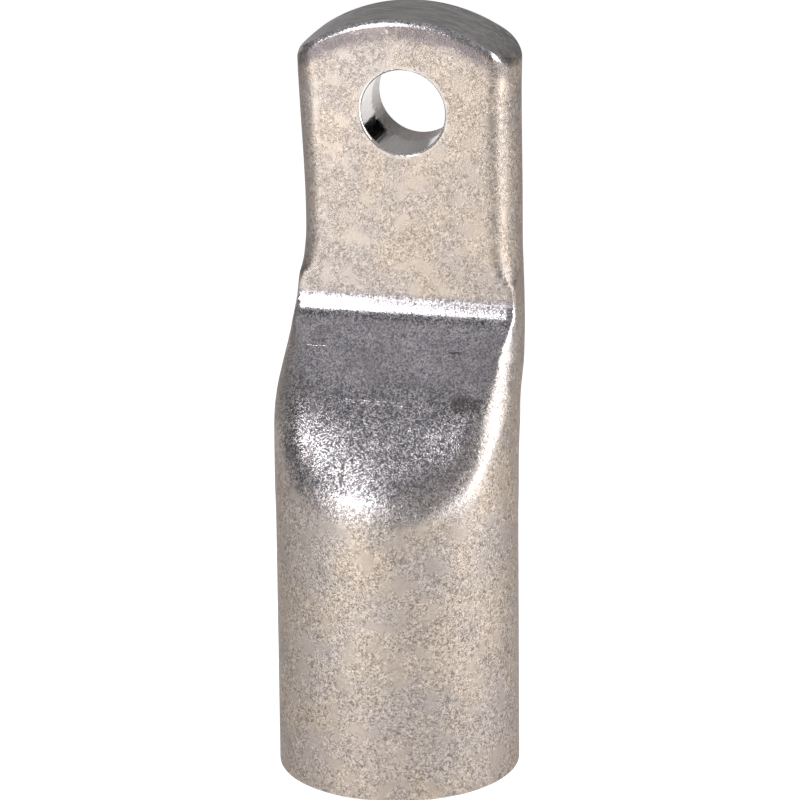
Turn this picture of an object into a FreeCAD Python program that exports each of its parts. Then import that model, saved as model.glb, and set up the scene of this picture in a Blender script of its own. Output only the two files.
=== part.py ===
"""Tubular cable lug: one piece of copper tube, pressed flat at one end and tin plated.

Frame: origin at the centre of the barrel's open end, +Z up the barrel towards the palm.
The palm's contact face looks along +Y and lies flush with the barrel's back.
The slope that the press leaves is on the -Y side. All sizes are millimetres and degrees.
"""
import FreeCAD, Part
import math
import os

import Sketcher

# Driving dimensions: name, value, what it is
SIZES = [
    ("barrel_outer", 24.0, "outer diameter of the tube"),
    ("barrel_wall", 2.5, "wall of the tube"),
    ("round_length", 26.0, "length of barrel that the press leaves round"),
    ("toe_gap", 2.8, "from the round length's end up to the toe of the slope"),
    ("bore_run_on", 3.0, "how far the round bore runs on past the round length"),
    ("slope_angle", 47.4, "angle between the slope's straight upper part and the palm"),
    ("toe_angle", 29.6, "angle between the slope and the barrel where they meet at the toe"),
    ("straight_share", 0.51, "share of the slope's depth that its straight part takes"),
    ("crease_radius", 2.2, "radius of the bend at the crease"),
    ("palm_thickness", 8.15, "thickness of the palm"),
    ("bulge_share", 0.52, "where the pressed metal swells most, as a share of the flattening"),
    ("bulge_swell", 0.1, "how much wider than the tube it is there"),
    ("bulge_flat", 2.5, "flat on the swelling's back, between its wide corners"),
    ("shoulder_share", 0.775, "where the shoulder is, as a share of the flattening"),
    ("shoulder_draw", 0.8, "how much narrower than the tube it is there"),
    ("shoulder_corner", 7.0, "corner radius of the shoulder's back"),
    ("crease_draw", 1.8, "how much narrower than the tube the crease is"),
    ("crease_back_corner", 3.3, "corner radius of the back behind the crease"),
    ("neck_rise", 7.0, "from the crease up to the palm's narrowest place"),
    ("neck_draw", 2.7, "how much narrower than the tube the palm is there"),
    ("palm_draw", 2.1, "how much narrower than the tube the palm is at its end"),
    ("overall_length", 75.35, "whole length of the lug"),
    ("palm_end_radius", 16.5, "radius of the palm's cut end"),
    ("hole_diameter", 8.4, "stud hole, a clearance hole for an 8 mm stud"),
    ("hole_to_end", 9.25, "from the stud hole's centre to the palm's end"),
    ("back_corner", 3.0, "corner radius along the palm's back"),
    ("back_press", 0.25, "how much metal the anvil flattens off the back"),
    ("palm_corner", 3.0, "corner radius along the palm's front"),
    ("crease_corner", 1.2, "corner radius at the ends of the crease"),
    ("slope_corner", 3.0, "corner radius along the sides of the slope"),
    ("slit_width", 14.5, "width of the closed end of the bore"),
    ("slit_gap", 0.6, "gap left between the tube's walls where they meet"),
    ("mouth_break", 0.15, "sharpness taken off the barrel's outer rim"),
    ("mouth_lead_in", 0.5, "chamfer inside the barrel's mouth"),
    ("hole_break", 0.25, "sharpness taken off the stud hole's rims"),
    ("end_round", 0.7, "edge that the cutting tool rolls over, at the palm's end"),
]

# Places that follow from the sizes: the crease is where the slope meets the palm's face,
# and the flattening runs from the end of the round length up to it
DEPTH = "(Sizes.barrel_outer - Sizes.palm_thickness)"
CREASE = ("(Sizes.round_length + Sizes.toe_gap + %s"
          " * (Sizes.straight_share / tan(Sizes.slope_angle * 1 deg)"
          " + (1 - Sizes.straight_share)"
          " / tan((Sizes.slope_angle + Sizes.toe_angle) / 2 * 1 deg)))") % DEPTH
FLATTENING = "(%s - Sizes.round_length)" % CREASE
NECK = "(%s + Sizes.neck_rise)" % CREASE
BORE_END = "(Sizes.round_length + Sizes.bore_run_on)"

# The circle that starts the flattening is split where the flattened section has its corners
SIDE_ANGLE = 7.0
CORNER_ANGLE = 77.0
# The bore's circle is split where the thin slot that it closes into has its corners
SLOT_SIDE_ANGLE = 45.0
# How far a cutting outline reaches past the metal
MARGIN = 6.0
# Nearness that tells one edge or point from another
NEAR = 0.02

# A sketch's own origin and axes, by their numbers
ORIGIN = (-1, 1)
H_AXIS = ORIGIN[0]
V_AXIS = H_AXIS - 1


def make_sheet(doc):
    """The spreadsheet of driving dimensions, one alias for each."""
    sheet = doc.addObject("Spreadsheet::Sheet", "Sizes")
    for row, (name, value, meaning) in enumerate(SIZES, 1):
        sheet.set("A%d" % row, name)
        sheet.set("B%d" % row, str(value))
        sheet.set("C%d" % row, meaning)
        sheet.setAlias("B%d" % row, name)
    doc.recompute()
    return sheet


def new_sketch(body, name, role, height=None):
    """A sketch on one of the body's own origin planes, lifted by an expression."""
    plane = [f for f in body.Origin.OriginFeatures if f.Role == role][0]
    sketch = body.newObject("Sketcher::SketchObject", name)
    sketch.AttachmentSupport = [(plane, "")]
    sketch.MapMode = "FlatFace"
    if height:
        sketch.setExpression("AttachmentOffset.Base.z", height)
    return sketch


def bind(sketch, constraint, expression):
    """Adds a dimension to a sketch and ties it to the sizes."""
    index = sketch.addConstraint(constraint)
    sketch.setExpression("Constraints[%d]" % index, expression)
    return index


def line(x0, y0, x1, y1):
    return Part.LineSegment(FreeCAD.Vector(x0, y0, 0), FreeCAD.Vector(x1, y1, 0))


def arc(cx, cy, radius, start, end):
    """Anticlockwise arc, angles in degrees."""
    circle = Part.Circle(FreeCAD.Vector(cx, cy, 0), FreeCAD.Vector(0, 0, 1), radius)
    return Part.ArcOfCircle(circle, math.radians(start), math.radians(end))


def circle_sketch(body, name, role, diameter, height=None, centre=None):
    """One full circle, centred on the origin or raised along the sketch's own Y."""
    sketch = new_sketch(body, name, role, height)
    circle = Part.Circle(FreeCAD.Vector(0, 0, 0), FreeCAD.Vector(0, 0, 1), 1.0)
    sketch.addGeometry(circle, False)
    if centre:
        sketch.addConstraint(Sketcher.Constraint("PointOnObject", 0, 3, V_AXIS))
        bind(sketch, Sketcher.Constraint("DistanceY", -1, 1, 0, 3, 1.0), centre)
    else:
        sketch.addConstraint(Sketcher.Constraint("Coincident", 0, 3, *ORIGIN))
    bind(sketch, Sketcher.Constraint("Diameter", 0, 2.0), diameter)
    return sketch


def split_circle(body, name, radius, height, outer_angles):
    """A circle of several arcs: the front half, then the back half from one side to the other.

    The back half is given by the arcs from its side to its middle one, which takes the rest.
    """
    sketch = new_sketch(body, name, "XY_Plane", height)
    rest = 180.0 - 2 * sum(outer_angles)
    edges = [180.0] + outer_angles + [rest] + outer_angles[::-1]
    middle = 1 + len(outer_angles)
    start = 180.0
    for span in edges:
        sketch.addGeometry(arc(0, 0, 10.0, start, start + span), False)
        start += span
    last = len(edges) - 1
    for index in range(len(edges)):
        sketch.addConstraint(Sketcher.Constraint("Coincident", index, 3, *ORIGIN))
    for index in range(last):
        sketch.addConstraint(Sketcher.Constraint("Coincident", index, 2, index + 1, 1))
    sketch.addConstraint(Sketcher.Constraint("PointOnObject", 0, 1, H_AXIS))
    sketch.addConstraint(Sketcher.Constraint("PointOnObject", 0, 2, H_AXIS))
    sketch.addConstraint(Sketcher.Constraint("PointOnObject", last, 2, H_AXIS))
    for index in range(1, len(edges)):
        if index != middle:
            span = math.radians(edges[index])
            sketch.addConstraint(Sketcher.Constraint("Angle", index, span))
    bind(sketch, Sketcher.Constraint("Radius", 0, 10.0), radius)
    return sketch


def flattened_section(body, name, half_width, corner, height):
    """Section of the flattened tube: half round in front, straight sides, flat back."""
    sketch = new_sketch(body, name, "XY_Plane", height)
    wide, back, small = 10.0, 11.0, 2.0
    inner = wide - small
    side = back - small
    for edge in (
        arc(0, 0, wide, 180, 360),
        line(wide, 0, wide, side),
        arc(inner, side, small, 0, 90),
        line(inner, back, -inner, back),
        arc(-inner, side, small, 90, 180),
        line(-wide, side, -wide, 0),
    ):
        sketch.addGeometry(edge, False)
    for constraint in (
        ("Coincident", 0, 3, *ORIGIN),
        ("PointOnObject", 0, 1, H_AXIS),
        ("PointOnObject", 0, 2, H_AXIS),
        ("Coincident", 0, 2, 1, 1),
        ("Coincident", 5, 2, 0, 1),
        ("Tangent", 1, 2, 2, 1),
        ("Tangent", 2, 2, 3, 1),
        ("Tangent", 3, 2, 4, 1),
        ("Tangent", 4, 2, 5, 1),
        ("Vertical", 1),
        ("Vertical", 5),
        ("Horizontal", 3),
        ("Equal", 2, 4),
    ):
        sketch.addConstraint(Sketcher.Constraint(*constraint))
    bind(sketch, Sketcher.Constraint("Radius", 0, wide), half_width)
    bind(sketch, Sketcher.Constraint("Radius", 2, small), corner)
    bind(sketch, Sketcher.Constraint("DistanceY", -1, 1, 3, 1, back),
         "Sizes.barrel_outer / 2 + Sizes.back_press")
    return sketch


def slot_section(body, name, half_width, gap, centre, height):
    """The thin slot where the tube's inner walls meet, wider along X."""
    sketch = new_sketch(body, name, "XY_Plane", height)
    wide, near, far = 8.0, 5.0, 7.0
    for edge in (
        line(-wide, near, wide, near),
        line(wide, near, wide, far),
        line(wide, far, -wide, far),
        line(-wide, far, -wide, near),
    ):
        sketch.addGeometry(edge, False)
    for constraint in (
        ("Coincident", 0, 2, 1, 1),
        ("Coincident", 1, 2, 2, 1),
        ("Coincident", 2, 2, 3, 1),
        ("Coincident", 3, 2, 0, 1),
        ("Horizontal", 2),
        ("Vertical", 1),
        ("Vertical", 3),
        ("Symmetric", 0, 1, 0, 2, V_AXIS),
    ):
        sketch.addConstraint(Sketcher.Constraint(*constraint))
    bind(sketch, Sketcher.Constraint("DistanceX", -1, 1, 0, 2, wide), half_width)
    bind(sketch, Sketcher.Constraint("DistanceY", -1, 1, 0, 2, near),
         "%s - %s / 2" % (centre, gap))
    bind(sketch, Sketcher.Constraint("DistanceY", 1, 1, 1, 2, far - near), gap)
    return sketch


def die_sketch(body, name):
    """Side view of the metal that the press pushes away.

    The outline runs down the palm's face, round the crease, down the slope's straight part and
    its rounded lower part to the toe, and straight on out of the tube.
    """
    sketch = new_sketch(body, name, "YZ_Plane")
    far, top, face = -18.0, 87.0, 4.0
    bend_y, bend_z, toe_y, toe_z = -4.0, 38.5, -12.0, 28.8
    centre_y, centre_z, radius = 23.0, 9.0, 40.0
    for edge in (
        line(far, top, face, top),
        line(face, top, face, 47.0),
        arc(face - 2.0, 47.0, 2.0, -45, 0),
        line(bend_y, bend_z, face - 0.6, 45.6),
        arc(centre_y, centre_z, radius, 133, 150),
        line(far, 18.0, toe_y, toe_z),
        line(far, 18.0, far, top),
    ):
        sketch.addGeometry(edge, False)
    corner = sketch.addGeometry(Part.Point(FreeCAD.Vector(face, 46.0, 0)), True)
    for constraint in (
        ("Coincident", 0, 2, 1, 1),
        ("Tangent", 1, 2, 2, 2),
        ("Tangent", 2, 1, 3, 2),
        ("Tangent", 3, 1, 4, 1),
        ("Tangent", 4, 2, 5, 2),
        ("Coincident", 5, 1, 6, 1),
        ("Coincident", 6, 2, 0, 1),
        ("Horizontal", 0),
        ("Vertical", 1),
        ("Vertical", 6),
        ("PointOnObject", corner, 1, 1),
        ("PointOnObject", corner, 1, 3),
    ):
        sketch.addConstraint(Sketcher.Constraint(*constraint))
    bind(sketch, Sketcher.Constraint("Radius", 2, 2.0), "Sizes.crease_radius")
    bind(sketch, Sketcher.Constraint("DistanceX", -1, 1, corner, 1, face),
         "Sizes.barrel_outer / 2 - Sizes.palm_thickness")
    bind(sketch, Sketcher.Constraint("DistanceY", -1, 1, corner, 1, 46.0), CREASE)
    bind(sketch, Sketcher.Constraint("Angle", 3, math.radians(42.6)),
         "90 deg - Sizes.slope_angle * 1 deg")
    bind(sketch, Sketcher.Constraint("Angle", 5, math.radians(60.4)),
         "90 deg - Sizes.toe_angle * 1 deg")
    bind(sketch, Sketcher.Constraint("DistanceX", 3, 1, corner, 1, face - bend_y),
         "Sizes.straight_share * " + DEPTH)
    bind(sketch, Sketcher.Constraint("DistanceX", 4, 2, -1, 1, -toe_y), "Sizes.barrel_outer / 2")
    bind(sketch, Sketcher.Constraint("DistanceX", 0, 1, -1, 1, -far),
         "Sizes.barrel_outer / 2 + %g" % MARGIN)
    bind(sketch, Sketcher.Constraint("DistanceY", -1, 1, 0, 1, top),
         "Sizes.overall_length + %g" % (2 * MARGIN))
    return sketch


def anvil_sketch(body, name):
    """Side view of the thin layer that the anvil flattens off the back, above the barrel."""
    sketch = new_sketch(body, name, "YZ_Plane")
    near, far, low, high = 12.0, 18.0, 34.0, 90.0
    for edge in (
        line(near, low, far, low),
        line(far, low, far, high),
        line(far, high, near, high),
        line(near, high, near, low),
    ):
        sketch.addGeometry(edge, False)
    for constraint in (
        ("Coincident", 0, 2, 1, 1),
        ("Coincident", 1, 2, 2, 1),
        ("Coincident", 2, 2, 3, 1),
        ("Coincident", 3, 2, 0, 1),
        ("Horizontal", 0),
        ("Vertical", 1),
        ("Horizontal", 2),
        ("Vertical", 3),
    ):
        sketch.addConstraint(Sketcher.Constraint(*constraint))
    bind(sketch, Sketcher.Constraint("DistanceX", -1, 1, 0, 1, near), "Sizes.barrel_outer / 2")
    bind(sketch, Sketcher.Constraint("DistanceX", 0, 1, 0, 2, far - near), "%g" % MARGIN)
    bind(sketch, Sketcher.Constraint("DistanceY", -1, 1, 0, 1, low), "Sizes.round_length")
    bind(sketch, Sketcher.Constraint("DistanceY", -1, 1, 1, 2, high),
         "Sizes.overall_length + %g" % (2 * MARGIN))
    return sketch


def palm_end_sketch(body, name):
    """Front view of what the cutting tool takes off above the palm's rounded end."""
    sketch = new_sketch(body, name, "XZ_Plane")
    radius, centre, out, top = 16.0, 59.0, 15.0, 85.0
    edge_angle = math.degrees(math.acos(out / radius))
    shoulder = centre + math.sqrt(radius ** 2 - out ** 2)
    for edge in (
        arc(0, centre, radius, edge_angle, 180 - edge_angle),
        line(-out, shoulder, -out, top),
        line(-out, top, out, top),
        line(out, top, out, shoulder),
    ):
        sketch.addGeometry(edge, False)
    for constraint in (
        ("PointOnObject", 0, 3, V_AXIS),
        ("Coincident", 0, 2, 1, 1),
        ("Coincident", 1, 2, 2, 1),
        ("Coincident", 2, 2, 3, 1),
        ("Coincident", 3, 2, 0, 1),
        ("Vertical", 1),
        ("Vertical", 3),
        ("Symmetric", 2, 1, 2, 2, V_AXIS),
    ):
        sketch.addConstraint(Sketcher.Constraint(*constraint))
    bind(sketch, Sketcher.Constraint("Radius", 0, radius), "Sizes.palm_end_radius")
    bind(sketch, Sketcher.Constraint("DistanceY", -1, 1, 0, 3, centre),
         "Sizes.overall_length - Sizes.palm_end_radius")
    bind(sketch, Sketcher.Constraint("DistanceX", -1, 1, 2, 2, out),
         "((Sizes.barrel_outer - Sizes.palm_draw) / 2 + Sizes.palm_end_radius) / 2")
    bind(sketch, Sketcher.Constraint("DistanceY", -1, 1, 2, 2, top),
         "Sizes.overall_length + %g" % MARGIN)
    return sketch


def add_feature(body, kind, name, profile, **settings):
    """One feature of a body, from a sketch."""
    feature = body.newObject("PartDesign::" + kind, name)
    feature.Profile = profile
    for key, value in settings.items():
        setattr(feature, key, value)
    profile.Visibility = False
    return feature


def pressed_tube(doc):
    """The tube as the press leaves it, with its edges still sharp and its end uncut."""
    body = doc.addObject("PartDesign::Body", "pressed_tube")
    barrel = circle_sketch(body, "barrel_circle", "XY_Plane", "Sizes.barrel_outer")
    pad = add_feature(body, "Pad", "barrel", barrel)
    pad.setExpression("Length", "Sizes.round_length")

    start = split_circle(body, "round_end", "Sizes.barrel_outer / 2", "Sizes.round_length",
                         [SIDE_ANGLE, CORNER_ANGLE])
    # The tube swells a little, then narrows to the neck while its back corners tighten
    share = "Sizes.round_length + " + FLATTENING + " * Sizes."
    bulge_half = "(Sizes.barrel_outer + Sizes.bulge_swell) / 2"
    sections = [
        flattened_section(body, name, half_width, corner, height)
        for name, half_width, corner, height in (
            ("bulge_section", bulge_half,
             bulge_half + " - Sizes.bulge_flat / 2", share + "bulge_share"),
            ("shoulder_section", "(Sizes.barrel_outer - Sizes.shoulder_draw) / 2",
             "Sizes.shoulder_corner", share + "shoulder_share"),
            ("crease_section", "(Sizes.barrel_outer - Sizes.crease_draw) / 2",
             "Sizes.crease_back_corner", CREASE),
            ("neck_section", "(Sizes.barrel_outer - Sizes.neck_draw) / 2",
             "Sizes.back_corner", NECK),
        )
    ]
    loft = add_feature(body, "AdditiveLoft", "flattening", start)
    loft.Sections = sections
    loft.Ruled = False

    palm_start = flattened_section(
        body, "palm_start", "(Sizes.barrel_outer - Sizes.neck_draw) / 2",
        "Sizes.back_corner", NECK)
    # The palm's blank runs on past its end at the same taper
    taper = ("(Sizes.neck_draw - Sizes.palm_draw) / 2"
             " / (Sizes.overall_length - %s)" % NECK)
    palm_top = flattened_section(
        body, "palm_top",
        "(Sizes.barrel_outer - Sizes.palm_draw) / 2 + %g * %s" % (MARGIN, taper),
        "Sizes.back_corner", "Sizes.overall_length + %g" % MARGIN)
    palm = add_feature(body, "AdditiveLoft", "palm", palm_start)
    palm.Sections = [palm_top]
    palm.Ruled = True

    pressed = add_feature(body, "Pocket", "press_stroke", die_sketch(body, "die_outline"))
    pressed.Type = "ThroughAll"
    pressed.Midplane = True
    anvil = add_feature(body, "Pocket", "anvil_face", anvil_sketch(body, "anvil_outline"))
    anvil.Type = "ThroughAll"
    anvil.Midplane = True
    doc.recompute()
    return body


def pressed_edges(doc, sheet, shape):
    """The two rows of edges, left and right, that the press leaves along slope, crease and palm.

    Each comes with the corner radius at its first and its last end.
    """
    outline = doc.getObject("die_outline").Shape
    crease = doc.getObject("crease_section").AttachmentOffset.Base.z
    slope = math.radians(sheet.slope_angle)
    bend = sheet.crease_radius * math.tan(slope / 2)
    crease_top = crease + bend
    crease_low = crease - bend * math.cos(slope)

    def on_die(point):
        side_view = Part.Vertex(0, point.y, point.z)
        return outline.distToShape(side_view)[0] < NEAR

    def radius(point):
        if crease_low - NEAR < point.z < crease_top + NEAR:
            return sheet.crease_corner
        return sheet.palm_corner if point.z > crease_top else sheet.slope_corner

    found = []
    for number, edge in enumerate(shape.Edges, 1):
        box = edge.BoundBox
        crosswise = box.YLength < NEAR and box.ZLength < NEAR
        if not crosswise and all(on_die(point) for point in edge.discretize(7)):
            ends = [radius(vertex.Point) for vertex in (edge.Vertexes[0], edge.Vertexes[-1])]
            found.append((number, ends[0], ends[1]))
    return found


def soften(doc, sheet, body):
    """Rounds the pressed edges: soft along slope and palm, tight at the crease."""
    fillet = doc.addObject("Part::Fillet", "pressed_corners")
    fillet.Base = body
    fillet.Edges = pressed_edges(doc, sheet, body.Shape)
    doc.recompute()
    return fillet


def edges_where(shape, test):
    """Names of the edges whose every sampled point passes a test."""
    return ["Edge%d" % number for number, edge in enumerate(shape.Edges, 1)
            if all(test(point) for point in edge.discretize(9))]


def finished_lug(doc, sheet, pressed):
    """Cuts the palm's end, the stud hole and the bore, and breaks the cut edges."""
    body = doc.addObject("PartDesign::Body", "cable_lug")
    body.BaseFeature = pressed
    doc.recompute()

    end = add_feature(body, "Pocket", "palm_end", palm_end_sketch(body, "palm_end_outline"))
    end.Type = "ThroughAll"
    end.Midplane = True

    hole_circle = circle_sketch(body, "stud_hole_circle", "XZ_Plane", "Sizes.hole_diameter",
                                centre="Sizes.overall_length - Sizes.hole_to_end")
    hole = add_feature(body, "Pocket", "stud_hole", hole_circle)
    hole.Type = "ThroughAll"
    hole.Midplane = True

    inner = "(Sizes.barrel_outer - 2 * Sizes.barrel_wall)"
    bore = add_feature(body, "Pocket", "bore",
                       circle_sketch(body, "bore_circle", "XY_Plane", inner))
    bore.Type = "Length"
    bore.Reversed = True
    bore.setExpression("Length", BORE_END)
    bore_end = split_circle(body, "bore_end_circle", inner + " / 2", BORE_END, [SLOT_SIDE_ANGLE])
    slit = slot_section(
        body, "slit_section", "Sizes.slit_width / 2", "Sizes.slit_gap",
        "Sizes.barrel_outer / 2 - Sizes.palm_thickness / 2", CREASE)
    closing = add_feature(body, "SubtractiveLoft", "bore_closing", bore_end)
    closing.Sections = [slit]
    closing.Ruled = True
    doc.recompute()

    break_edges(body, sheet)
    doc.recompute()
    return body


def break_edges(body, sheet):
    """Rolls the cut end's edge over and takes the sharpness off the rims."""
    face = sheet.barrel_outer / 2 - sheet.palm_thickness
    outer = sheet.barrel_outer / 2
    inner = outer - sheet.barrel_wall
    end_centre = sheet.overall_length - sheet.palm_end_radius
    hole_height = sheet.overall_length - sheet.hole_to_end

    def on_hole(point):
        away = math.hypot(point.x, point.z - hole_height)
        return abs(away - sheet.hole_diameter / 2) < NEAR

    def on_end(point):
        away = math.hypot(point.x, point.z - end_centre)
        return abs(away - sheet.palm_end_radius) < NEAR and point.y < face + sheet.palm_corner

    def on_rim(radius):
        return lambda point: point.z < NEAR and abs(math.hypot(point.x, point.y) - radius) < NEAR

    for kind, name, test, size in (
        ("Fillet", "rolled_end", on_end, "end_round"),
        ("Chamfer", "hole_rims", on_hole, "hole_break"),
        ("Chamfer", "mouth_rim", on_rim(outer), "mouth_break"),
        ("Chamfer", "mouth_lead", on_rim(inner), "mouth_lead_in"),
    ):
        base = body.Tip
        feature = body.newObject("PartDesign::" + kind, name)
        feature.Base = (base, edges_where(base.Shape, test))
        feature.setExpression("Radius" if kind == "Fillet" else "Size", "Sizes." + size)
        body.Document.recompute()


def check(doc, parts):
    """Stops if any object failed or any piece isn't one valid solid."""
    for item in doc.Objects:
        if "Invalid" in item.State or "Error" in item.State:
            raise RuntimeError("%s failed: %s" % (item.Name, item.State))
    for part in parts:
        shape = part.Shape
        if shape.isNull() or not shape.isValid() or len(shape.Solids) != 1:
            raise RuntimeError("%s isn't one valid solid" % part.Name)


def main():
    doc = FreeCAD.newDocument("cable_lug")
    sheet = make_sheet(doc)
    tube = pressed_tube(doc)
    corners = soften(doc, sheet, tube)
    lug = finished_lug(doc, sheet, corners)
    lug.Label = "cable_lug"
    check(doc, [lug])
    os.makedirs("parts", exist_ok=True)
    lug.Shape.exportStep("parts/cable_lug.step")
    print("cable_lug: %.0f mm3" % lug.Shape.Volume)


main()
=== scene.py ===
"""Looks of a tinned copper cable lug: a round tube, pressed flat at one end and plated all over.

Sizes here are in millimetres. Everything is made in metres, in the part's own frame: +Z runs up the
barrel to the palm, the contact face looks along +Y, and the pressed slope is on the -Y side.
"""
import logging
import math
from dataclasses import dataclass, field
from enum import Enum

import bmesh
import bpy
import numpy as np
from mathutils import Matrix, Vector


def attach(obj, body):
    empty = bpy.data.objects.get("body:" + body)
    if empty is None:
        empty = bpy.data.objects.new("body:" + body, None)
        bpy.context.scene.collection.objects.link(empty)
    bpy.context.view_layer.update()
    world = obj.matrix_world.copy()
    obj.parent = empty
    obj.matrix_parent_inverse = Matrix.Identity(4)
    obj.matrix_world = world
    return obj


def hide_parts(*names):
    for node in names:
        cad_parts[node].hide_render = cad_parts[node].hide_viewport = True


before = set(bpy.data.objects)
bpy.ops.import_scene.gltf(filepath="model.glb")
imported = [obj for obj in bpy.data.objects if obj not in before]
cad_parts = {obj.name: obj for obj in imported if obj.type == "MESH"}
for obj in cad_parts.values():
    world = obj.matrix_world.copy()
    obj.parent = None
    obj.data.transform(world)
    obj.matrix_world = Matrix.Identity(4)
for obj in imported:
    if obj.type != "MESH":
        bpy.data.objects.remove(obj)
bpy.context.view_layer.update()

log = logging.getLogger("cable_lug")

MM = 0.001
NODE = "cable_lug"


class Finish(Enum):
    """The finishes that the lug's metal shows."""

    PLATE = "tin plate"
    CUT = "cut metal"
    HOLE = "punched wall"
    BORE = "inside of the tube"


class Layer(Enum):
    """Which skin of the tube a point of the blank belongs to."""

    INSIDE = 0.0
    OUTSIDE = 1.0


class Term:
    """A number in a node tree that formulas can be written with."""

    def __init__(self, tree: bpy.types.NodeTree, socket: bpy.types.NodeSocket) -> None:
        """Args: tree: the node tree. socket: the output that gives the number."""
        self.tree = tree
        self.socket = socket

    def math(self, operation: str, *others: "Term | float", clamp: bool = False) -> "Term":
        """Adds a Math node.

        Args:
            operation: the Math node's operation.
            others: the second and third operands.
            clamp: keeps the result between 0 and 1.

        Returns:
            The node's result.
        """
        node = self.tree.nodes.new("ShaderNodeMath")
        node.operation = operation
        node.use_clamp = clamp
        for slot, value in zip(node.inputs, (self, *others)):
            feed(self.tree, slot, value)
        return Term(self.tree, node.outputs[0])

    def __add__(self, other: "Term | float") -> "Term":
        """Sum."""
        return self.math("ADD", other)

    def __radd__(self, other: float) -> "Term":
        """Sum with a plain number first."""
        return self.math("ADD", other)

    def __sub__(self, other: "Term | float") -> "Term":
        """Difference."""
        return self.math("SUBTRACT", other)

    def __rsub__(self, other: float) -> "Term":
        """Difference from a plain number."""
        return self.math("MULTIPLY", -1.0).math("ADD", other)

    def __mul__(self, other: "Term | float") -> "Term":
        """Product."""
        return self.math("MULTIPLY", other)

    def __rmul__(self, other: float) -> "Term":
        """Product with a plain number first."""
        return self.math("MULTIPLY", other)

    def __truediv__(self, other: "Term | float") -> "Term":
        """Quotient."""
        return self.math("DIVIDE", other)

    def __neg__(self) -> "Term":
        """Opposite."""
        return self.math("MULTIPLY", -1.0)

    def __abs__(self) -> "Term":
        """Size without sign."""
        return self.math("ABSOLUTE")

    def at_least(self, other: "Term | float") -> "Term":
        """The larger of the two."""
        return self.math("MAXIMUM", other)

    def at_most(self, other: "Term | float") -> "Term":
        """The smaller of the two."""
        return self.math("MINIMUM", other)

    def root(self) -> "Term":
        """Square root."""
        return self.math("SQRT")

    def above(self, other: "Term | float") -> "Term":
        """1 where this is greater than the other, else 0."""
        return self.math("GREATER_THAN", other)

    def ramp(self, low: "Term | float", high: "Term | float", smooth: bool = True) -> "Term":
        """Runs from 0 at low to 1 at high.

        Args:
            low: value that gives 0.
            high: value that gives 1; it may be less than low.
            smooth: eases both ends.

        Returns:
            The ramp.
        """
        node = self.tree.nodes.new("ShaderNodeMapRange")
        node.interpolation_type = "SMOOTHSTEP" if smooth else "LINEAR"
        feed(self.tree, node.inputs["Value"], self)
        feed(self.tree, node.inputs["From Min"], low)
        feed(self.tree, node.inputs["From Max"], high)
        return Term(self.tree, node.outputs["Result"])

    def curve(self, points: tuple[tuple[float, float], ...]) -> "Term":
        """A smooth curve through a few points.

        Args:
            points: (value, result) pairs in order.

        Returns:
            The curve's result, held level past its ends.
        """
        low, high = points[0][0], points[-1][0]
        top = max(result for _, result in points)
        node = self.tree.nodes.new("ShaderNodeFloatCurve")
        line = node.mapping.curves[0]
        places = [((value - low) / (high - low), result / top) for value, result in points]
        line.points[0].location = places[0]
        line.points[1].location = places[-1]
        for place in places[1:-1]:
            line.points.new(*place)
        for point in line.points:
            point.handle_type = "AUTO_CLAMPED"
        node.mapping.update()
        feed(self.tree, node.inputs["Value"], self.ramp(low, high, smooth=False))
        return Term(self.tree, node.outputs["Value"]) * top


def feed(tree: bpy.types.NodeTree, slot: bpy.types.NodeSocket, value: "Term | float") -> None:
    """Gives a node's input a term or a plain number."""
    if isinstance(value, Term):
        tree.links.new(value.socket, slot)
    else:
        slot.default_value = value


def hypot(a: Term, b: Term) -> Term:
    """Length of the hypotenuse over two sides."""
    return (a * a + b * b).root()


def mix(share: Term, low: "Term | float", high: "Term | float") -> Term:
    """Goes from low to high as share goes from 0 to 1."""
    span = high - low if isinstance(high, Term) or not isinstance(low, Term) else -(low - high)
    return share * span + low


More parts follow.
